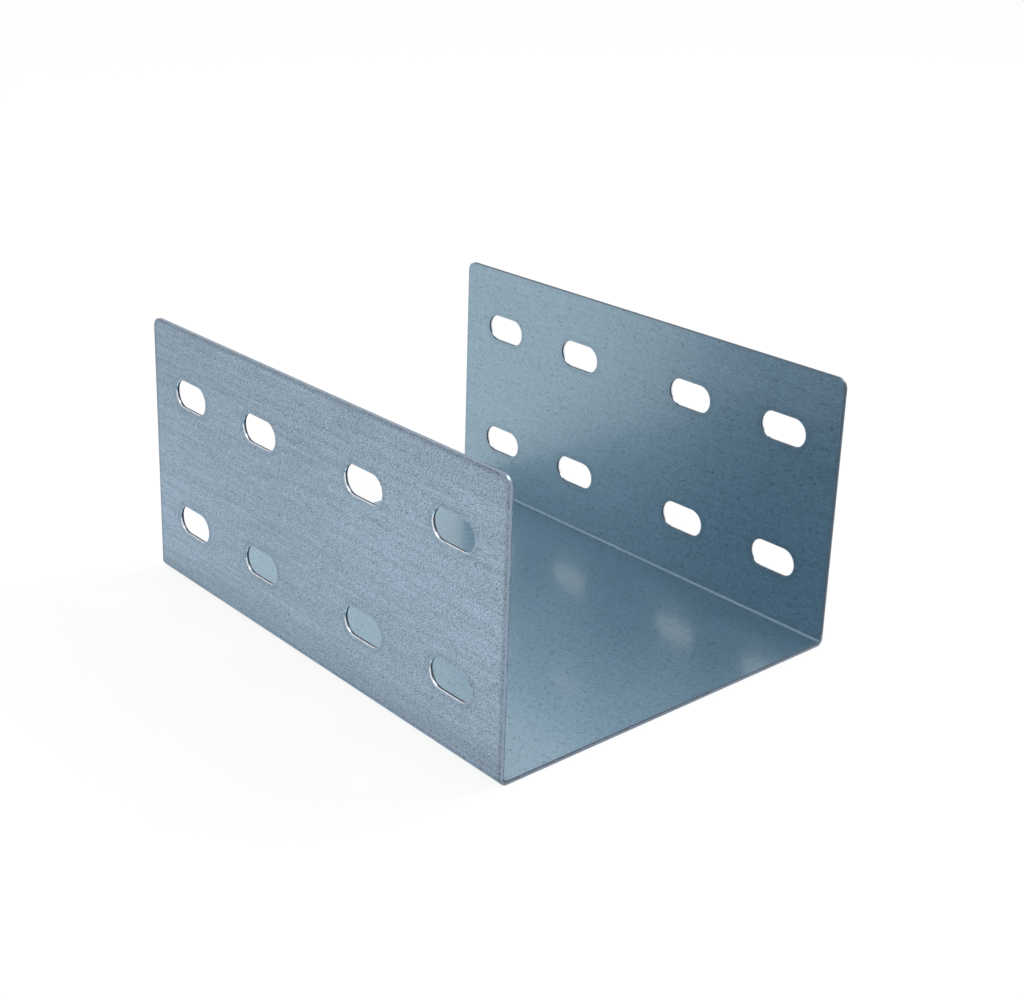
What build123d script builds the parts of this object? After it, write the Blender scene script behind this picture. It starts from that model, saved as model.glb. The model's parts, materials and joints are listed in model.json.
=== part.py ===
from build123d import *
import os

# U bracket: one galvanised steel sheet, punched flat and folded twice.
# X runs along the trough, the walls stand on the +Y and -Y sides and Z is up.
# The origin is the middle of the underside. All sizes are in millimetres.

# Sheet and folds
sheet_thickness = 1.0
bend_inside_radius = 0.8
inside_width = 99.0

# Slots: the same grid of obrounds in both walls, lying along the trough
slot_width = 7.0
slot_length = 13.5
centre_pitch = 40.0
side_pitch = 30.0
end_margin = 16.5
lower_row_height = 17.0
row_pitch = 33.0
top_margin = 16.5

# Edges
corner_radius = 2.5
edge_break = 0.15

# Sizes that follow from the ones above
outside_width = inside_width + 2 * sheet_thickness
wall_height = lower_row_height + row_pitch + top_margin
inner_column = centre_pitch / 2
outer_column = inner_column + side_pitch
bracket_length = 2 * (outer_column + end_margin)


def folded_sheet():
    """The plain U: the inside line of the folds, thickened outwards and as long as the bracket."""
    half = inside_width / 2
    inside_line = FilletPolyline(
        (-half, wall_height),
        (-half, sheet_thickness),
        (half, sheet_thickness),
        (half, wall_height),
        radius=bend_inside_radius,
    )
    section = make_face(offset(inside_line, sheet_thickness, side=Side.RIGHT))
    return extrude(Plane.YZ * section, amount=bracket_length / 2, both=True)


def round_free_corners(body):
    """Round the top corner at each end of both walls."""
    across = body.edges().filter_by(Axis.Y).group_by(Axis.Z)[-1]
    return fillet(across, corner_radius)


def punch_slots(body):
    """Punch the grid of slots straight through both walls."""
    outline = Plane.XZ * SlotOverall(slot_length, slot_width)
    punch = extrude(outline, amount=outside_width, both=True)
    for x in (-outer_column, -inner_column, inner_column, outer_column):
        for z in (lower_row_height, lower_row_height + row_pitch):
            body -= Pos(x, 0, z) * punch
    return body


def outside_faces(body):
    """The faces of the sheet's outer side: both walls, both folds and the underside."""
    walls = [face for face in body.faces().filter_by(Axis.Y) if abs(face.center().Y) > inside_width / 2]
    underside = body.faces().filter_by(Axis.Z).sort_by(Axis.Z)[:1]
    bend_outside_radius = bend_inside_radius + sheet_thickness
    folds = body.faces().filter_by(GeomType.CYLINDER).filter_by(
        lambda face: abs(face.radius - bend_outside_radius) < 1e-6
    )
    return ShapeList([*walls, *underside, *folds])


def break_outside_edges(body):
    """Bevel the sheared edge that the punch draws in, all round the outline and each slot."""
    edges = [edge for face in outside_faces(body) for edge in face.edges()]
    sheared = [edge for edge in edges if sum(edge.is_same(other) for other in edges) == 1]
    return chamfer(sheared, edge_break)


u_bracket = break_outside_edges(punch_slots(round_free_corners(folded_sheet())))

os.makedirs("parts", exist_ok=True)
export_step(u_bracket, "parts/u_bracket.step")
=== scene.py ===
import json
import logging
import math
from collections.abc import Iterable, Iterator, Mapping, Sequence
from dataclasses import dataclass
from enum import Enum

import bpy
from mathutils import Matrix, Vector
from mathutils.geometry import delaunay_2d_cdt


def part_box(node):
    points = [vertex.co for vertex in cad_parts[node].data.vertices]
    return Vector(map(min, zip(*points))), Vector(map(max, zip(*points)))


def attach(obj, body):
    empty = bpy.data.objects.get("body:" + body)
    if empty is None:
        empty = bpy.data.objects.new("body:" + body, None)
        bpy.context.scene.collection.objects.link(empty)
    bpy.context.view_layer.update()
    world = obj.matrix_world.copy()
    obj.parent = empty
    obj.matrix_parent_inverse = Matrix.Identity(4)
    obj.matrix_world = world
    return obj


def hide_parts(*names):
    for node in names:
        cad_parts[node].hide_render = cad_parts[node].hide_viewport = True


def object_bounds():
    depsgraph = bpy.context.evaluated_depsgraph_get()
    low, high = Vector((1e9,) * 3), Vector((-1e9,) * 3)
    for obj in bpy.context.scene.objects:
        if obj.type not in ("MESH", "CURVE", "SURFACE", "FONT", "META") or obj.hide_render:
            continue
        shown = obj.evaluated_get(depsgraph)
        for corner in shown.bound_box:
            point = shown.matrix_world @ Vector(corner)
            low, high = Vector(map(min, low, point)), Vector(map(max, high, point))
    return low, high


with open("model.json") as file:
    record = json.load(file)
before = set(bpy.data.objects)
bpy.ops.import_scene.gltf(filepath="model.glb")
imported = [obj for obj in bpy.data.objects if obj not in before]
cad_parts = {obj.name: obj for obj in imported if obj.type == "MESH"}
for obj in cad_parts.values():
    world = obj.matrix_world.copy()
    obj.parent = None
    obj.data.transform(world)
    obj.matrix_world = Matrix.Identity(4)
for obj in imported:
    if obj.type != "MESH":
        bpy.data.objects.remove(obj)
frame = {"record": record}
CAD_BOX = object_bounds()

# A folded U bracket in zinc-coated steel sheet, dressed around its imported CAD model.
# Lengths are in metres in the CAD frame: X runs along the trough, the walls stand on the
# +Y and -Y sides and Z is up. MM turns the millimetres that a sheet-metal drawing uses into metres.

LOG = logging.getLogger("u_bracket")
MM = 0.001
NODE = "u_bracket"
BODY = "root"

WHITE = (1.0, 1.0, 1.0, 1.0)
NOISE_MEAN = 0.5
BUMP_HEIGHT = 0.05 * MM

Colour = tuple[float, float, float]
Range = tuple[float, float]
Point2 = tuple[float, float]
Point3 = tuple[float, float, float]


# --------------------------------------------------------------------------------------
# Shader trees
# --------------------------------------------------------------------------------------

class Wire:
    """One output socket of a shader tree; arithmetic on it adds Math nodes to the tree."""

    def __init__(self, graph: "Graph", socket: bpy.types.NodeSocket | None) -> None:
        """Keep the tree's builder and the socket that carries the value."""
        self.graph = graph
        self.socket = socket

    def out(self, name: str) -> "Wire":
        """Return another output of the same node."""
        return Wire(self.graph, self.socket.node.outputs[name])

    def math(self, operation: str, *terms: "Term", clamp: bool = False) -> "Wire":
        """Return a Math node's result.

        Args:
            operation: the Math node's operation.
            *terms: its operands, in order.
            clamp: whether the result is held between 0 and 1.

        Returns:
            The wire of the result.
        """
        settings = {"operation": operation, "use_clamp": clamp}
        return self.graph.node("ShaderNodeMath", settings, dict(enumerate(terms)))

    def __add__(self, other: "Term") -> "Wire":
        """Return self + other."""
        return self.math("ADD", self, other)

    def __radd__(self, other: "Term") -> "Wire":
        """Return other + self."""
        return self.math("ADD", other, self)

    def __sub__(self, other: "Term") -> "Wire":
        """Return self - other."""
        return self.math("SUBTRACT", self, other)

    def __rsub__(self, other: "Term") -> "Wire":
        """Return other - self."""
        return self.math("SUBTRACT", other, self)

    def __mul__(self, other: "Term") -> "Wire":
        """Return self * other."""
        return self.math("MULTIPLY", self, other)

    def __rmul__(self, other: "Term") -> "Wire":
        """Return other * self."""
        return self.math("MULTIPLY", other, self)

    def at_least(self, least: "Term") -> "Wire":
        """Return the larger of self and the given number."""
        return self.math("MAXIMUM", self, least)

    def clamped(self) -> "Wire":
        """Return self held between 0 and 1."""
        return self.math("ADD", self, 0.0, clamp=True)

    def rise(self, low: float, high: float) -> "Wire":
        """Return a smooth step.

        Args:
            low: the value at which the step leaves 0.
            high: the value at which it reaches 1; below low, the step falls instead.

        Returns:
            The wire of the step, from 0 to 1.
        """
        settings = {"interpolation_type": "SMOOTHSTEP"}
        if high < low:
            sockets = {"Value": self, "From Min": high, "From Max": low, "To Min": 1.0, "To Max": 0.0}
        else:
            sockets = {"Value": self, "From Min": low, "From Max": high, "To Min": 0.0, "To Max": 1.0}
        return self.graph.node("ShaderNodeMapRange", settings, sockets)


Term = Wire | float | Sequence[float]


class Graph:
    """Builds one material's or the world's shader tree."""

    def __init__(self, owner: bpy.types.Material | bpy.types.World) -> None:
        """Start an empty tree.

        Args:
            owner: the material or the world that the tree belongs to.
        """
        owner.use_nodes = True
        self.tree = owner.node_tree
        self.tree.nodes.clear()

    def node(self, kind: str, settings: Mapping[str, object] | None = None,
             inputs: Mapping[str | int, Term] | None = None, output: str | int = 0) -> Wire:
        """Add a node.

        Args:
            kind: the node's type.
            settings: its properties, set before its sockets.
            inputs: for each socket, by name or number, its value or the wire that feeds it.
            output: the output to return, by name or number.

        Returns:
            The wire of the chosen output; an output node has none.
        """
        made = self.tree.nodes.new(kind)
        for key, value in (settings or {}).items():
            setattr(made, key, value)
        for key, value in (inputs or {}).items():
            if isinstance(value, Wire):
                self.tree.links.new(value.socket, made.inputs[key])
            else:
                made.inputs[key].default_value = value
        return Wire(self, made.outputs[output] if made.outputs else None)

    def seen(self) -> Wire:
        """Return 1 for what the camera sees, also in metal or through glass, and 0 for plain light."""
        rays = self.node("ShaderNodeLightPath", output="Is Camera Ray")
        return rays.at_least(rays.out("Is Glossy Ray")).at_least(rays.out("Is Transmission Ray"))

    def millimetres(self, stretch: float = 1.0) -> Wire:
        """Return the place on the object.

        Args:
            stretch: how far a pattern laid over it is drawn out along the trough.

        Returns:
            The wire of the place, in millimetres.
        """
        place = self.node("ShaderNodeTexCoord", output="Object")
        scale = (1.0 / (MM * stretch), 1.0 / MM, 1.0 / MM)
        return self.node("ShaderNodeVectorMath", {"operation": "MULTIPLY"}, {0: place, 1: scale})

    def mark(self, name: str) -> Wire:
        """Return a number that the mesh carries at each point."""
        return self.node("ShaderNodeAttribute", {"attribute_name": name}, output="Fac")

    def noise(self, place: Wire, pitch: float, detail: float = 2.0, roughness: float = 0.5,
              seed: float = 0.0) -> Wire:
        """Return a noise of about the given pitch.

        Args:
            place: the wire of the place, in millimetres.
            pitch: the distance between the noise's blobs, in millimetres.
            detail: how many finer octaves it has.
            roughness: how strong those are.
            seed: another number gives another pattern.

        Returns:
            The wire of the noise, centred on NOISE_MEAN.
        """
        settings = {"noise_dimensions": "4D"}
        sockets = {"Vector": place, "W": seed, "Scale": 1.0 / pitch, "Detail": detail, "Roughness": roughness}
        return self.node("ShaderNodeTexNoise", settings, sockets)

    def blend(self, factor: Term, first: Term, second: Term) -> Wire:
        """Return a mix of two colours.

        Args:
            factor: 0 for the first colour, 1 for the second.
            first: a colour or the wire of one.
            second: a colour or the wire of one.

        Returns:
            The wire of the mixed colour.
        """
        def rgba(colour: Term) -> Term:
            """Return a plain colour with its alpha."""
            return colour if isinstance(colour, Wire) else (*colour, 1.0)

        # A Mix node numbers its colour inputs 6 and 7 and its colour output 2.
        sockets = {0: factor, 6: rgba(first), 7: rgba(second)}
        return self.node("ShaderNodeMix", {"data_type": "RGBA"}, sockets, output=2)

    def brighten(self, colour: Term, gain: Wire) -> Wire:
        """Return the colour multiplied by a gain that varies over the surface."""
        grey = self.node("ShaderNodeCombineXYZ", inputs={"X": gain, "Y": gain, "Z": gain})
        return self.node("ShaderNodeVectorMath", {"operation": "MULTIPLY"}, {0: colour, 1: grey})


# --------------------------------------------------------------------------------------
# Finishes
# --------------------------------------------------------------------------------------

@dataclass(frozen=True)
class ZincCoat:
    """The sheet's zinc coating: a grey, finely grained satin metal under a thin clear film.

    Lengths are in millimetres. A stretch draws a pattern out along the trough. A contrast, depth,
    shine or shade is the share by which a pattern changes the colour. A zone is the pair of
    distances at which a shade starts and is full, and a wander is how far its border strays. The
    shade round a slot fades out again within slot_clear of it. Levels are those of the noise.
    """

    name: str
    colour: Colour = (0.254, 0.342, 0.430)
    grazing_tint: Colour = (0.5, 0.7, 0.85)
    roughness: float = 0.38
    bump: float = 0.15
    film_weight: float = 0.9
    film_roughness: float = 0.14
    film_ior: float = 1.5
    grain_pitch: float = 0.12
    grain_stretch: float = 3.3
    grain_contrast: float = 4.0
    grain_roughness: float = 0.12
    coarse_ratio: float = 4.0
    coarse_share: float = 0.06
    fleck_ratio: float = 2.0
    fleck_stretch: float = 1.8
    fleck_levels: Range = (0.38, 0.24)
    fleck_depth: float = 0.62
    cloud_pitches: Range = (45.0, 70.0)
    cloud_seeds: Range = (600.0, 1764.0)
    cloud_stretch: float = 1.6
    cloud_contrast: float = 0.45
    cloud_roughness: float = 0.06
    streak_pitch: float = 0.75
    streak_stretch: float = 20.0
    streak_contrast: float = 0.65
    pit_spacing: float = 2.6
    pit_radius: float = 0.24
    pit_depth: float = 0.5
    pit_bump: float = 1.2
    speck_spacing: float = 4.5
    speck_radius: float = 0.17
    speck_shine: float = 0.35
    wander_pitch: float = 1.1
    slot_zone: Range = (1.7, 0.8)
    slot_clear: Range = (0.25, 0.6)
    slot_wander: float = 0.6
    slot_shade: float = 0.14
    rim_zone: Range = (1.4, 0.3)
    rim_wander: float = 0.5
    rim_shade: float = 0.28
    # The fold zone and the fold shade paint shade along the folds.
    fold_zone: Range = (9.0, 0.6)
    fold_wander: float = 0.35
    fold_shade: float = 0.2
    crease_zone: Range = (0.9, 0.5)
    crease_roughness: float = 0.1
    crease_film_loss: float = 0.6
    least_gain: float = 0.1

    def grain(self, graph: Graph) -> Wire:
        """Return the fine grain of the zinc crystals.

        Args:
            graph: the material's shader tree.

        Returns:
            The wire of a number around 0, negative in the darker grains.
        """
        place = graph.millimetres(self.grain_stretch)
        coarse_pitch = self.coarse_ratio * self.grain_pitch
        fine = graph.noise(place, self.grain_pitch, detail=1.0, roughness=0.6) - NOISE_MEAN
        coarse = graph.noise(place, coarse_pitch, detail=1.0, seed=3.1) - NOISE_MEAN
        return fine + self.coarse_share * coarse

    def flecks(self, graph: Graph) -> Wire:
        """Return the small dark flecks that stand out of the grain.

        Args:
            graph: the material's shader tree.

        Returns:
            The wire of the mask, 1 in a fleck.
        """
        place = graph.millimetres(self.fleck_stretch)
        levels = graph.noise(place, self.fleck_ratio * self.grain_pitch, detail=0.5, seed=8.3)
        return levels.rise(*self.fleck_levels)

    def spots(self, graph: Graph, spacing: float, radius: float, seed: float) -> Wire:
        """Return a mask of sparse round spots in the coating.

        Args:
            graph: the material's shader tree.
            spacing: the distance between them; most lie off the surface.
            radius: the largest radius of a spot.
            seed: another number gives other spots.

        Returns:
            The wire of the mask, 1 in a spot.
        """
        sockets = {0: graph.millimetres(), 1: (seed, seed, seed)}
        place = graph.node("ShaderNodeVectorMath", {"operation": "ADD"}, sockets)
        sockets = {"Vector": place, "Scale": 1.0 / spacing, "Randomness": 1.0}
        cell = graph.node("ShaderNodeTexVoronoi", {"voronoi_dimensions": "3D"}, sockets, output="Distance")
        core = 0.4 * radius
        return (cell * spacing).rise(radius, core)

    def mottle_and_painted_light(self, graph: Graph) -> Wire:
        """Return broad light and dark clouds, partly the coating's mottle and partly painted light and shade.

        Args:
            graph: the material's shader tree.

        Returns:
            The wire of a number around 0, negative in the darker clouds.
        """
        place = graph.millimetres(self.cloud_stretch)
        # The seeds put the clouds where the walls are lighter and darker from the light: painted light and
        # shade.
        small, large = (graph.noise(place, pitch, seed=seed)
                        for pitch, seed in zip(self.cloud_pitches, self.cloud_seeds))
        return small + large - 2 * NOISE_MEAN

    def streaks(self, graph: Graph) -> Wire:
        """Return the thin streaks that the coating has along the trough.

        Args:
            graph: the material's shader tree.

        Returns:
            The wire of a number around 0, negative in the darker streaks.
        """
        place = graph.millimetres(self.streak_stretch)
        return graph.noise(place, self.streak_pitch, detail=2.5, seed=1.9) - NOISE_MEAN

    def edge_darkening_and_fold_shade(self, graph: Graph) -> Wire:
        """Return the gain that darkens the coating beside the slots and the rim, and paints shade along the
        folds.

        Args:
            graph: the material's shader tree.

        Returns:
            The wire of the gain, 1 where the sheet is untouched.
        """
        wander = graph.noise(graph.millimetres(), self.wander_pitch, detail=3.0, seed=6.6) - NOISE_MEAN
        slot = graph.mark(Mesh.SLOT_DISTANCE) + self.slot_wander * wander
        rim = graph.mark(Mesh.RIM_DISTANCE) + self.rim_wander * wander
        fold = graph.mark(Mesh.FOLD_DISTANCE) + self.fold_wander * wander
        beside_slot = slot.rise(*self.slot_clear) * slot.rise(*self.slot_zone)
        gain = (1.0 - self.slot_shade * beside_slot) * (1.0 - self.rim_shade * rim.rise(*self.rim_zone))
        # The fold term is painted shade: low on the walls' outside, by the floor, and in the crease inside.
        return gain * (1.0 - self.fold_shade * fold.rise(*self.fold_zone))

    def material(self) -> bpy.types.Material:
        """Build the material.

        Returns:
            The new material.
        """
        made = bpy.data.materials.new(self.name)
        graph = Graph(made)
        grain = self.grain(graph)
        flecks = self.flecks(graph)
        pits = self.spots(graph, self.pit_spacing, self.pit_radius, seed=0.0)
        specks = self.spots(graph, self.speck_spacing, self.speck_radius, seed=47.0)
        mottle_and_painted_light = self.mottle_and_painted_light(graph)
        gain = 1.0 + self.grain_contrast * grain + self.cloud_contrast * mottle_and_painted_light
        gain = (gain + self.streak_contrast * self.streaks(graph)).at_least(self.least_gain)
        gain = gain * (1.0 - self.fleck_depth * flecks) * (1.0 - self.pit_depth * pits)
        gain = gain * (1.0 + self.speck_shine * specks) * self.edge_darkening_and_fold_shade(graph)
        crease = graph.mark(Mesh.FOLD_DISTANCE).rise(*self.crease_zone)
        roughness = self.roughness + self.grain_roughness * grain + self.cloud_roughness * mottle_and_painted_light
        normal = graph.node("ShaderNodeBump", inputs={
            "Strength": self.bump, "Distance": BUMP_HEIGHT, "Height": grain - self.pit_bump * pits})
        shader = graph.node("ShaderNodeBsdfPrincipled", {"distribution": "MULTI_GGX"}, {
            "Base Color": graph.brighten(self.colour, gain),
            "Metallic": 1.0,
            "Specular Tint": (*self.grazing_tint, 1.0),
            "Roughness": (roughness + self.crease_roughness * crease).clamped(),
            "Normal": normal,
            "Coat Weight": self.film_weight * (1.0 - self.crease_film_loss * crease),
            "Coat Roughness": self.film_roughness,
            "Coat IOR": self.film_ior,
        })
        graph.node("ShaderNodeOutputMaterial", inputs={"Surface": shader})
        return made


@dataclass(frozen=True)
class CutSteel:
    """Bare steel on a cut face of the sheet: a burnished band, then a torn, grainy one.

    The land is the burnished band's share of the sheet's thickness, its fade is half the width of
    the border and its wander is how far the border strays. Pitches are in millimetres.
    """

    name: str
    colour: Colour
    torn_colour: Colour
    land: float
    bump: float
    land_fade: float = 0.08
    land_grit: float = 0.25
    wander: float = 0.6
    wander_pitch: float = 0.9
    roughness: float = 0.32
    torn_roughness: float = 0.25
    grit_pitch: float = 0.25
    grit_contrast: float = 1.2
    grit_roughness: float = 0.2

    def material(self) -> bpy.types.Material:
        """Build the material.

        Returns:
            The new material.
        """
        made = bpy.data.materials.new(self.name)
        graph = Graph(made)
        wander = graph.noise(graph.millimetres(), self.wander_pitch, seed=2.2) - NOISE_MEAN
        depth = graph.mark(Mesh.DEPTH) + self.wander * wander
        torn = depth.rise(self.land - self.land_fade, self.land + self.land_fade)
        grit = graph.noise(graph.millimetres(), self.grit_pitch, roughness=0.7, seed=4.4) - NOISE_MEAN
        colour = graph.blend(torn, self.colour, self.torn_colour)
        roughness = self.roughness + self.torn_roughness * torn + self.grit_roughness * grit
        normal = graph.node("ShaderNodeBump", inputs={
            "Strength": self.bump, "Distance": BUMP_HEIGHT, "Height": grit * (self.land_grit + torn)})
        shader = graph.node("ShaderNodeBsdfPrincipled", inputs={
            "Base Color": graph.brighten(colour, 1.0 + self.grit_contrast * grit),
            "Metallic": 1.0,
            "Roughness": roughness.clamped(),
            "Normal": normal,
        })
        graph.node("ShaderNodeOutputMaterial", inputs={"Surface": shader})
        return made


@dataclass(frozen=True)
class StudioFloor:
    """A white floor that the camera and the metal see as white, and that keeps a soft shadow.

    The seen glow is how much of what they see is plain white; the rest is matt and takes the shadow.
    """

    name: str = "studio_floor"
    colour: Colour = (0.93, 0.93, 0.93)
    seen_glow: float = 0.85
    glow: float = 1.0

    def material(self) -> bpy.types.Material:
        """Build the material.

        Returns:
            The new material.
        """
        made = bpy.data.materials.new(self.name)
        graph = Graph(made)
        seen = graph.seen()
        matt = graph.node("ShaderNodeBsdfDiffuse", inputs={"Color": (*self.colour, 1.0)})
        white = graph.node("ShaderNodeEmission", inputs={"Color": WHITE, "Strength": self.glow})
        shader = graph.node("ShaderNodeMixShader", inputs={0: self.seen_glow * seen, 1: matt, 2: white})
        graph.node("ShaderNodeOutputMaterial", inputs={"Surface": shader})
        return made


# --------------------------------------------------------------------------------------
# The folded sheet
# --------------------------------------------------------------------------------------

class Face(Enum):
    """The surfaces of the sheet, each with a material of its own; the value is the material's place.

    The left wall stands on the +Y side and the right wall on the -Y side. Each wall's edge is the
    cut face along its ends and its top, and the base's edge takes in the ends of the folds. The
    three edges are one sheared steel in lit and shaded copies: the left wall's edge and the base's
    edge are painted darker as shade.
    """

    OUTSIDE = 0
    INSIDE = 1
    LEFT_EDGE = 2
    RIGHT_EDGE = 3
    BASE_EDGE = 4
    PUNCHED = 5


@dataclass(frozen=True)
class Slot:
    """One obround slot in the flat blank, lying along X."""

    x: float
    s: float
    radius: float
    length: float

    def outline(self, inset: float, arc_steps: int, straight_steps: int) -> list[Point2]:
        """Return the slot's outline in the blank.

        Args:
            inset: how far the outline lies outside the cut, in the metal.
            arc_steps: steps in each round end.
            straight_steps: steps along each straight side.

        Returns:
            The points of the closed outline, once round.
        """
        half = self.length / 2 - self.radius
        radius = self.radius + inset
        points = []
        for end in (1, -1):
            for i in range(arc_steps):
                angle = math.pi * (i / arc_steps - 0.5)
                along = half + radius * math.cos(angle)
                points.append((self.x + end * along, self.s + end * radius * math.sin(angle)))
            for i in range(straight_steps):
                along = half - 2 * half * i / straight_steps
                points.append((self.x + end * along, self.s + end * radius))
        return points

    def distance(self, x: float, s: float) -> float:
        """Return how far a point of the blank lies outside the slot; it is negative inside."""
        half = self.length / 2 - self.radius
        return math.hypot(max(abs(x - self.x) - half, 0.0), s - self.s) - self.radius


@dataclass(frozen=True)
class Blank:
    """The flat sheet before folding: X along the bracket, S across it from the middle of the base.

    The stations are the places across it at which its two long sides have points.
    """

    half_length: float
    half_width: float
    corner_radius: float
    stations: tuple[float, ...]

    def outline(self, inset: float, arc_steps: int, straight_steps: int) -> list[Point2]:
        """Return the blank's outline.

        Args:
            inset: how far the outline lies inside the cut, in the metal.
            arc_steps: steps in each round corner.
            straight_steps: steps along each edge that ends a wall.

        Returns:
            The points of the closed outline, once round.
        """
        core_x = self.half_length - self.corner_radius
        core_s = self.half_width - self.corner_radius
        radius = self.corner_radius - inset

        def corner(x: float, quarter: int) -> list[Point2]:
            """Return the points of the round corner about (x, core_s), in the given quarter turn."""
            angles = [math.pi * (0.5 * quarter + 0.5 * i / arc_steps) for i in range(arc_steps)]
            return [(x + radius * math.cos(a), core_s + radius * math.sin(a)) for a in angles]

        half_round = [(self.half_length - inset, s) for s in self.stations]
        half_round += corner(core_x, 0)
        half_round += [(core_x - 2 * core_x * i / straight_steps, self.half_width - inset)
                       for i in range(straight_steps)]
        half_round += corner(-core_x, 1)
        return [(end * x, end * s) for end in (1, -1) for x, s in half_round]

    def distance(self, x: float, s: float) -> float:
        """Return how far a point lies inside the blank's edge.

        Args:
            x: its place along the bracket.
            s: its place across the blank.

        Returns:
            The distance; it is negative outside.
        """
        over_x = abs(x) - (self.half_length - self.corner_radius)
        over_s = abs(s) - (self.half_width - self.corner_radius)
        past_core = math.hypot(max(over_x, 0.0), max(over_s, 0.0))
        return self.corner_radius - past_core - min(max(over_x, over_s), 0.0)


class Mesh:
    """Collects points and faces, each point with the marks that the finishes read."""

    DEPTH = "cut_depth"
    RIM_DISTANCE = "rim_distance"
    SLOT_DISTANCE = "slot_distance"
    FOLD_DISTANCE = "fold_distance"

    def __init__(self) -> None:
        """Start with nothing."""
        self.points: list[Point3] = []
        names = (self.DEPTH, self.RIM_DISTANCE, self.SLOT_DISTANCE, self.FOLD_DISTANCE)
        self.marks: dict[str, list[float]] = {name: [] for name in names}
        self.faces: list[tuple[int, ...]] = []
        self.kinds: list[int] = []

    def point(self, place: Point3, marks: Mapping[str, float]) -> int:
        """Add a point.

        Args:
            place: where it is.
            marks: the numbers that it carries for the finishes.

        Returns:
            The point's number.
        """
        self.points.append(place)
        for name, value in marks.items():
            self.marks[name].append(value)
        return len(self.points) - 1

    def face(self, corners: Iterable[int], kind: Face) -> None:
        """Add a face of the given kind."""
        self.faces.append(tuple(corners))
        self.kinds.append(kind.value)

    def build(self, name: str, materials: Sequence[bpy.types.Material],
              smooth_angle: float) -> bpy.types.Object:
        """Make the Blender object.

        Args:
            name: the object's name.
            materials: one for each kind of face.
            smooth_angle: edges that turn by more than this stay sharp.

        Returns:
            The new object, linked to the scene.
        """
        data = bpy.data.meshes.new(name)
        data.from_pydata(self.points, [], self.faces)
        for material in materials:
            data.materials.append(material)
        data.polygons.foreach_set("material_index", self.kinds)
        data.polygons.foreach_set("use_smooth", [True] * len(self.faces))
        for title, values in self.marks.items():
            data.attributes.new(title, "FLOAT", "POINT").data.foreach_set("value", values)
        data.validate()
        data.set_sharp_from_angle(angle=smooth_angle)
        made = bpy.data.objects.new(name, data)
        bpy.context.scene.collection.objects.link(made)
        return made


@dataclass(frozen=True)
class CutProfile:
    """The section of a cut edge: drawn in on the outside, cut square, then torn a little back.

    The margin is how far from the cut the flat skin starts, and the land is the share of the
    thickness that is cut square.
    """

    thickness: float
    margin: float
    roll_width: float
    roll_depth: float
    roll_steps: int = 6
    land: float = 0.3
    tear: float = 0.03 * MM
    burr_round: float = 0.04 * MM

    def rings(self) -> list[Point2]:
        """Return the section's corners.

        Returns:
            Their (inset, depth) pairs, from the outside of the sheet to the inside.
        """
        turns = [0.5 * math.pi * i / self.roll_steps for i in range(self.roll_steps + 1)]
        return [
            (self.margin, 0.0),
            *((self.roll_width * (1 - math.sin(a)), self.roll_depth * (1 - math.cos(a))) for a in turns),
            (0.0, self.land * self.thickness),
            (self.tear, self.thickness - self.burr_round),
            (self.tear + self.burr_round, self.thickness),
            (self.margin, self.thickness),
        ]

    def bands(self, cut: Sequence[Face]) -> list[Sequence[Face]]:
        """Return the kinds of face of each band between two rings.

        Args:
            cut: the kinds round the cut itself, one for each step along it.

        Returns:
            For each band, the kinds of its faces.
        """
        outside = [[Face.OUTSIDE] * len(cut)] * (self.roll_steps + 1)
        return [*outside, cut, cut, cut, [Face.INSIDE] * len(cut)]


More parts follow.
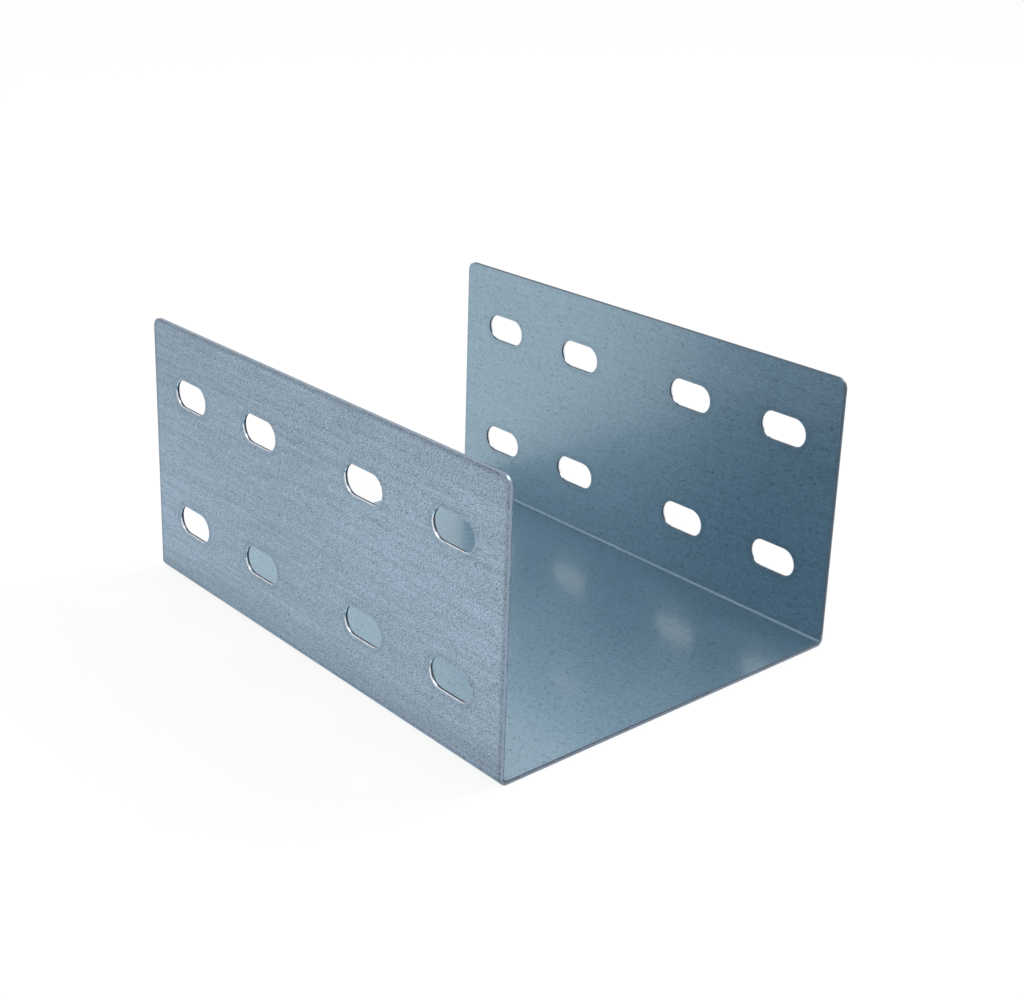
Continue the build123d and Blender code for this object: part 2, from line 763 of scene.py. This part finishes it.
@dataclass
class FoldedSheet:
    """The bracket: a slotted flat blank, given its thickness and folded up into a U.

    A roll is the width and the depth to which a cut draws the sheet's outside in.
    """

    length: float
    width: float
    height: float
    thickness: float
    slots: Sequence[Slot]
    bend_radius: float = 0.8 * MM
    corner_radius: float = 2.5 * MM
    skin_margin: float = 1.8 * MM
    sheared_roll: Point2 = (0.35 * MM, 0.08 * MM)
    punched_roll: Point2 = (0.22 * MM, 0.07 * MM)
    bend_steps: int = 10
    corner_steps: int = 10
    slot_arc_steps: int = 28
    slot_straight_steps: int = 6
    grid: float = 3.0 * MM
    edge_step: float = 1.0 * MM
    smooth_angle: float = math.radians(38.0)

    @classmethod
    def from_frame(cls) -> "FoldedSheet":
        """Read the bracket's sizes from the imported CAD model.

        Returns:
            The sheet, with its slots placed on the flat blank.
        """
        low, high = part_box(NODE)
        mounts = frame["record"]["mounts"]
        thickness = next(m["pos_m"][2] for m in mounts if m["name"] == "base_inside")
        sheet = cls(high.x - low.x, high.y - low.y, high.z - low.z, thickness, ())
        slots = []
        for mount in mounts:
            if mount["kind"] != "bolt_pattern":
                continue
            dims = mount["dims"]
            x, y, z = mount["pos_m"]
            for dx in (-0.5, 0.5):
                for dz in (-0.5, 0.5):
                    along = x + dx * dims["spacing_x_mm"] * MM
                    rise = z + dz * dims["spacing_y_mm"] * MM
                    across = math.copysign(sheet.along_wall(rise), y)
                    slots.append(Slot(along, across, dims["hole_r_mm"] * MM, dims["slot_length_mm"] * MM))
        sheet.slots = tuple(slots)
        return sheet

    @property
    def half_base(self) -> float:
        """Half the flat part of the base, between the folds."""
        return self.width / 2 - self.thickness - self.bend_radius

    @property
    def half_bend(self) -> float:
        """The length of one fold along its inside."""
        return self.bend_radius * math.pi / 2

    @property
    def fold_lines(self) -> list[float]:
        """The places across the blank, on its +S side, at which the fold has rows of points."""
        return [self.half_base + self.half_bend * i / self.bend_steps for i in range(self.bend_steps + 1)]

    def along_wall(self, z: float) -> float:
        """Return the place on the blank, from the middle of the base, of a height on a wall."""
        return self.half_base + self.half_bend + z - self.thickness - self.bend_radius

    def folded(self, x: float, s: float, depth: float) -> Point3:
        """Fold one point of the blank.

        Args:
            x: its place along the bracket.
            s: its place across the blank, from the middle of the base.
            depth: its depth in the sheet, from the outside.

        Returns:
            Where it lies on the finished bracket.
        """
        side = math.copysign(1.0, s)
        past_base = abs(s) - self.half_base
        if past_base <= 0.0:
            return x, s, depth
        radius = self.bend_radius + self.thickness - depth
        angle = min(past_base / self.bend_radius, math.pi / 2)
        y = self.half_base + radius * math.sin(angle)
        z = self.thickness + self.bend_radius - radius * math.cos(angle)
        return x, side * y, z + max(past_base - self.half_bend, 0.0)

    def blank(self) -> Blank:
        """Return the flat blank.

        Returns:
            The blank, with stations from the end of one corner to just short of the next.
        """
        top = self.along_wall(self.height) - self.corner_radius
        fold = self.fold_lines
        base = self.spread(0.0, fold[0], self.edge_step)[:-1]
        wall = self.spread(fold[-1], top, self.edge_step)[1:-1]
        half = [*base, *fold, *wall]
        stations = (-top, *(-s for s in reversed(half[1:])), *half)
        return Blank(self.length / 2, top + self.corner_radius, self.corner_radius, stations)

    @staticmethod
    def spread(first: float, last: float, step: float) -> list[float]:
        """Return evenly spaced numbers from first to last, about step apart."""
        count = max(1, round(abs(last - first) / step))
        return [first + (last - first) * i / count for i in range(count + 1)]

    def cut_faces(self, mesh: Mesh, outline: list[list[int]], bands: list[Sequence[Face]]) -> None:
        """Join the rings round one cut.

        Args:
            mesh: the mesh to add to.
            outline: the point numbers of each ring, from the outside to the inside.
            bands: for each band between two rings, the kinds of its faces.
        """
        for kinds, upper, lower in zip(bands, outline, outline[1:]):
            for i, kind in enumerate(kinds):
                j = (i + 1) % len(upper)
                mesh.face((upper[i], upper[j], lower[j], lower[i]), kind)

    def inner_points(self, blank: Blank, margin: float, clear: float) -> Iterator[Point2]:
        """Yield a staggered grid of points that keeps clear of every cut and of the folds.

        Args:
            blank: the flat blank.
            margin: how far from each cut the skin starts.
            clear: how far the points stay from the skin's start and from the folds.

        Yields:
            The points, on the blank.
        """
        fold_low = self.half_base - clear
        fold_high = self.half_base + self.half_bend + clear
        row_step = self.grid * math.sqrt(0.75)
        for number, s in enumerate(self.spread(-blank.half_width, blank.half_width, row_step)):
            if fold_low < abs(s) < fold_high:
                continue
            shift = 0.25 * self.grid * (1 if number % 2 else -1)
            for column in self.spread(-blank.half_length, blank.half_length, self.grid):
                x = column + shift
                if (blank.distance(x, s) >= margin + clear
                        and min(slot.distance(x, s) for slot in self.slots) > margin + clear):
                    yield x, s

    def skin(self, mesh: Mesh, blank: Blank, loops: list[list[int]], flats: list[list[Point2]],
             depth: float, kind: Face) -> None:
        """Fill one side of the sheet with triangles.

        Each fold gets rows of points from end to end, so that it bends in even steps.

        Args:
            mesh: the mesh to add to.
            blank: the flat blank.
            loops: the point numbers of the outline and of each slot, on this side.
            flats: the same points on the blank.
            depth: this side's depth in the sheet.
            kind: the kind of face it has.
        """
        numbers = [number for loop in loops for number in loop]
        places = [place for flat in flats for place in flat]
        edges = []
        first = 0
        for loop in loops:
            count = len(loop)
            edges += [(first + i, first + (i + 1) % count) for i in range(count)]
            first += count
        reach = max(x for x, _ in flats[0])
        columns = self.spread(-reach, reach, self.grid / 2)[1:-1]
        half_round = len(flats[0]) // 2
        for side in (-1, 1):
            for s in (side * line for line in self.fold_lines):
                back = half_round + blank.stations.index(-s)
                front = blank.stations.index(s)
                row = [back, *range(len(places), len(places) + len(columns)), front]
                places += [(x, s) for x in columns]
                edges += list(zip(row, row[1:]))
        places += self.inner_points(blank, self.skin_margin, clear=0.35 * self.grid)
        numbers += [self.add_point(mesh, blank, x, s, depth) for x, s in places[len(numbers):]]
        within_edges, tolerance = 1, 1e-7
        scaled = [Vector((x / MM, s / MM)) for x, s in places]
        out, _, triangles, origins, _, _ = delaunay_2d_cdt(scaled, edges, [], within_edges, tolerance)
        assert all(origins), "the cuts and folds cross each other"
        metal_from = self.skin_margin + 0.001 * MM
        for triangle in triangles:
            middle = sum((out[i] for i in triangle), Vector((0.0, 0.0))) * (MM / len(triangle))
            if min(slot.distance(middle.x, middle.y) for slot in self.slots) > metal_from:
                corners = [numbers[origins[i][0]] for i in triangle]
                mesh.face(corners if kind is Face.INSIDE else reversed(corners), kind)

    def add_point(self, mesh: Mesh, blank: Blank, x: float, s: float, depth: float) -> int:
        """Fold one point of the blank and add it to the mesh, with its marks.

        Args:
            mesh: the mesh to add to.
            blank: the flat blank.
            x: its place along the bracket.
            s: its place across the blank.
            depth: its depth in the sheet.

        Returns:
            The point's number.
        """
        fold = abs(abs(s) - self.half_base - self.half_bend / 2)
        return mesh.point(self.folded(x, s, depth), {
            Mesh.DEPTH: depth / self.thickness,
            Mesh.RIM_DISTANCE: blank.distance(x, s) / MM,
            Mesh.SLOT_DISTANCE: min(slot.distance(x, s) for slot in self.slots) / MM,
            Mesh.FOLD_DISTANCE: fold / MM,
        })

    def edge_kind(self, s: float) -> Face:
        """Return the kind of cut face at a place on the blank's outline.

        Args:
            s: the place across the blank.

        Returns:
            The kind of face.
        """
        if abs(s) <= self.half_base + self.half_bend:
            return Face.BASE_EDGE
        return Face.LEFT_EDGE if s > 0.0 else Face.RIGHT_EDGE

    def cut_edge(self, mesh: Mesh, blank: Blank,
                 cut: Blank | Slot) -> tuple[list[list[int]], list[list[Point2]]]:
        """Make the edge round the blank or round one slot.

        Args:
            mesh: the mesh to add to.
            blank: the flat blank.
            cut: the blank itself or a slot in it.

        Returns:
            The point numbers of each ring, from the outside of the sheet to the inside, and the
            same points on the blank.
        """
        sheared = cut is blank
        if sheared:
            roll, arcs, straights = self.sheared_roll, self.corner_steps, round(self.length / self.edge_step)
        else:
            roll, arcs, straights = self.punched_roll, self.slot_arc_steps, self.slot_straight_steps
        profile = CutProfile(self.thickness, self.skin_margin, *roll)
        rings = profile.rings()
        flats = [cut.outline(inset, arcs, straights) for inset, _ in rings]
        loops = [[self.add_point(mesh, blank, x, s, depth) for x, s in flat]
                 for flat, (_, depth) in zip(flats, rings)]
        if sheared:
            kinds = [self.edge_kind(s) for _, s in flats[-1]]
            self.cut_faces(mesh, loops, profile.bands(kinds))
        else:
            kinds = [Face.PUNCHED] * len(loops[0])
            self.cut_faces(mesh, [loop[::-1] for loop in loops], profile.bands(kinds))
        return loops, flats

    def build(self, materials: Sequence[bpy.types.Material]) -> bpy.types.Object:
        """Make the folded sheet.

        Args:
            materials: one for each kind of face.

        Returns:
            The bracket, riding on its body and standing for the CAD node.
        """
        mesh = Mesh()
        blank = self.blank()
        cuts = [self.cut_edge(mesh, blank, cut) for cut in (blank, *self.slots)]
        for ring, depth, kind in ((0, 0.0, Face.OUTSIDE), (-1, self.thickness, Face.INSIDE)):
            self.skin(mesh, blank, [loops[ring] for loops, _ in cuts], [flats[ring] for _, flats in cuts],
                      depth, kind)
        made = mesh.build("folded_sheet", materials, self.smooth_angle)
        steady = made.modifiers.new("flat_faces_stay_flat", "WEIGHTED_NORMAL")
        steady.keep_sharp = True
        steady.weight = 100
        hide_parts(NODE)
        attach(made, BODY)
        return made


# --------------------------------------------------------------------------------------
# Studio
# --------------------------------------------------------------------------------------

@dataclass
class SoftBox:
    """A large square lamp that faces the bracket."""

    name: str
    azimuth: float
    elevation: float
    distance: float
    size: float
    radiance: float

    def build(self, target: Vector) -> bpy.types.Object:
        """Make the lamp.

        Args:
            target: the point that it faces.

        Returns:
            The new lamp.
        """
        data = bpy.data.lights.new(self.name, "AREA")
        data.shape = "SQUARE"
        data.size = self.size
        data.energy = self.radiance * math.pi * self.size ** 2
        made = bpy.data.objects.new(self.name, data)
        bpy.context.scene.collection.objects.link(made)
        away = direction(self.azimuth, self.elevation)
        made.location = target + away * self.distance
        made.rotation_mode = "QUATERNION"
        made.rotation_quaternion = away.to_track_quat("Z", "Y")
        return made


def direction(azimuth: float, elevation: float) -> Vector:
    """Return the unit vector to a place round the object.

    Args:
        azimuth: in degrees; 0 stands on the -Y side and 90 on the +X side.
        elevation: in degrees above the horizon.

    Returns:
        The unit vector, from the object.
    """
    a, e = math.radians(azimuth), math.radians(elevation)
    return Vector((math.sin(a) * math.cos(e), -math.cos(a) * math.cos(e), math.sin(e)))


@dataclass
class Studio:
    """The white surroundings: world, floor and lamps."""

    floor_size: float = 12.0
    floor_gap: float = 0.05 * MM
    world_light: float = 0.95
    world_seen: float = 1.0
    lamps: tuple[SoftBox, ...] = (
        SoftBox("front_softbox", azimuth=30.0, elevation=32.0, distance=1.2, size=0.5, radiance=3.0),
        SoftBox("back_softbox", azimuth=165.0, elevation=46.0, distance=1.2, size=0.6, radiance=5.0),
    )

    def build_world(self) -> None:
        """Make the world: plain white to the camera and the metal, a little dimmer as a light."""
        world = bpy.data.worlds.new("studio")
        bpy.context.scene.world = world
        graph = Graph(world)
        seen = graph.seen()
        lit = graph.node("ShaderNodeBackground", inputs={"Color": WHITE, "Strength": self.world_light})
        shown = graph.node("ShaderNodeBackground", inputs={"Color": WHITE, "Strength": self.world_seen})
        sky = graph.node("ShaderNodeMixShader", inputs={0: seen, 1: lit, 2: shown})
        graph.node("ShaderNodeOutputWorld", inputs={"Surface": sky})

    def build_floor(self, level: float) -> bpy.types.Object:
        """Make the floor.

        Args:
            level: its height.

        Returns:
            The floor.
        """
        half = self.floor_size / 2
        data = bpy.data.meshes.new("floor")
        corners = [(-half, -half, level), (half, -half, level), (half, half, level), (-half, half, level)]
        data.from_pydata(corners, [], [(0, 1, 2, 3)])
        data.materials.append(StudioFloor().material())
        made = bpy.data.objects.new("floor", data)
        bpy.context.scene.collection.objects.link(made)
        return made

    def build(self) -> list[bpy.types.Object]:
        """Make the world, the floor and the lamps around the CAD model's box.

        Returns:
            The floor and the lamps.
        """
        low, high = CAD_BOX
        self.build_world()
        floor = self.build_floor(low.z - self.floor_gap)
        return [floor, *(lamp.build((low + high) / 2) for lamp in self.lamps)]


@dataclass
class Viewpoint:
    """The camera: where it stands round the bracket, which way it looks and its lens.

    Angles are in degrees, and the lens and the sensor in the camera's millimetres.
    """

    azimuth: float = 49.356
    elevation: float = 21.515
    distance: float = 395.1 * MM
    heading: float = 48.397
    pitch: float = 18.263
    roll: float = 1.881
    lens: float = 57.50
    sensor: float = 36.0
    shift_y: float = -0.110
    clip_start: float = 10 * MM
    clip_end: float = 100.0

    def build(self) -> bpy.types.Object:
        """Make the scene's camera.

        Returns:
            The camera.
        """
        low, high = CAD_BOX
        data = bpy.data.cameras.new("camera")
        data.lens = self.lens
        data.sensor_width = self.sensor
        data.shift_y = self.shift_y
        data.clip_start = self.clip_start
        data.clip_end = self.clip_end
        made = bpy.data.objects.new("camera", data)
        bpy.context.scene.collection.objects.link(made)
        made.location = (low + high) / 2 + direction(self.azimuth, self.elevation) * self.distance
        look = direction(self.heading, self.pitch).to_track_quat("Z", "Y")
        made.rotation_mode = "QUATERNION"
        made.rotation_quaternion = look @ Matrix.Rotation(math.radians(self.roll), 3, "Z").to_quaternion()
        bpy.context.scene.camera = made
        return made


# --------------------------------------------------------------------------------------
# Making the scene
# --------------------------------------------------------------------------------------


def main() -> None:
    """Build the camera, the studio and the bracket, and report each."""
    logging.basicConfig(level=logging.INFO, format="%(name)s: %(message)s")
    bpy.context.scene.view_settings.view_transform = "Standard"
    for made in (Viewpoint().build(), *Studio().build()):
        LOG.info("%s: made", made.name)
    finishes = {
        Face.OUTSIDE: ZincCoat("zinc_outside"),
        # The inside's coat is a lighter copy of the outside's, painted light in the trough; its crease along
        # the folds is painted shade.
        Face.INSIDE: ZincCoat(
            "zinc_inside", colour=(0.265, 0.384, 0.472), grazing_tint=(0.80, 0.96, 0.98), roughness=0.42,
            bump=0.5, film_weight=0.8, film_roughness=0.15, grain_pitch=0.32, grain_contrast=0.75,
            fleck_depth=0.25, cloud_contrast=0.15, streak_contrast=0.18, pit_spacing=1.9, pit_depth=0.8,
            speck_shine=0.8, slot_shade=0.1, rim_shade=0.05, fold_zone=(0.9, 0.6), fold_shade=0.15),
        # The left wall's and the base's edges are darker copies of the right wall's edge: painted shade.
        Face.LEFT_EDGE: CutSteel(
            "left_wall_edge", colour=(0.13, 0.17, 0.22), torn_colour=(0.08, 0.11, 0.14), land=0.5, bump=0.4),
        Face.RIGHT_EDGE: CutSteel(
            "right_wall_edge", colour=(0.25, 0.32, 0.41), torn_colour=(0.13, 0.16, 0.21), land=0.8, bump=0.2),
        Face.BASE_EDGE: CutSteel(
            "base_edge", colour=(0.20, 0.245, 0.31), torn_colour=(0.11, 0.13, 0.165), land=0.65, bump=0.4),
        Face.PUNCHED: CutSteel(
            "punched_slot", colour=(0.70, 0.75, 0.80), torn_colour=(0.06, 0.07, 0.09), land=0.42, bump=0.25,
            wander=0.2, roughness=0.15),
    }
    bracket = FoldedSheet.from_frame().build([finishes[kind].material() for kind in Face])
    size = bracket.data
    LOG.info("%s: %d points, %d faces", bracket.name, len(size.vertices), len(size.polygons))


if __name__ == "__main__":
    main()
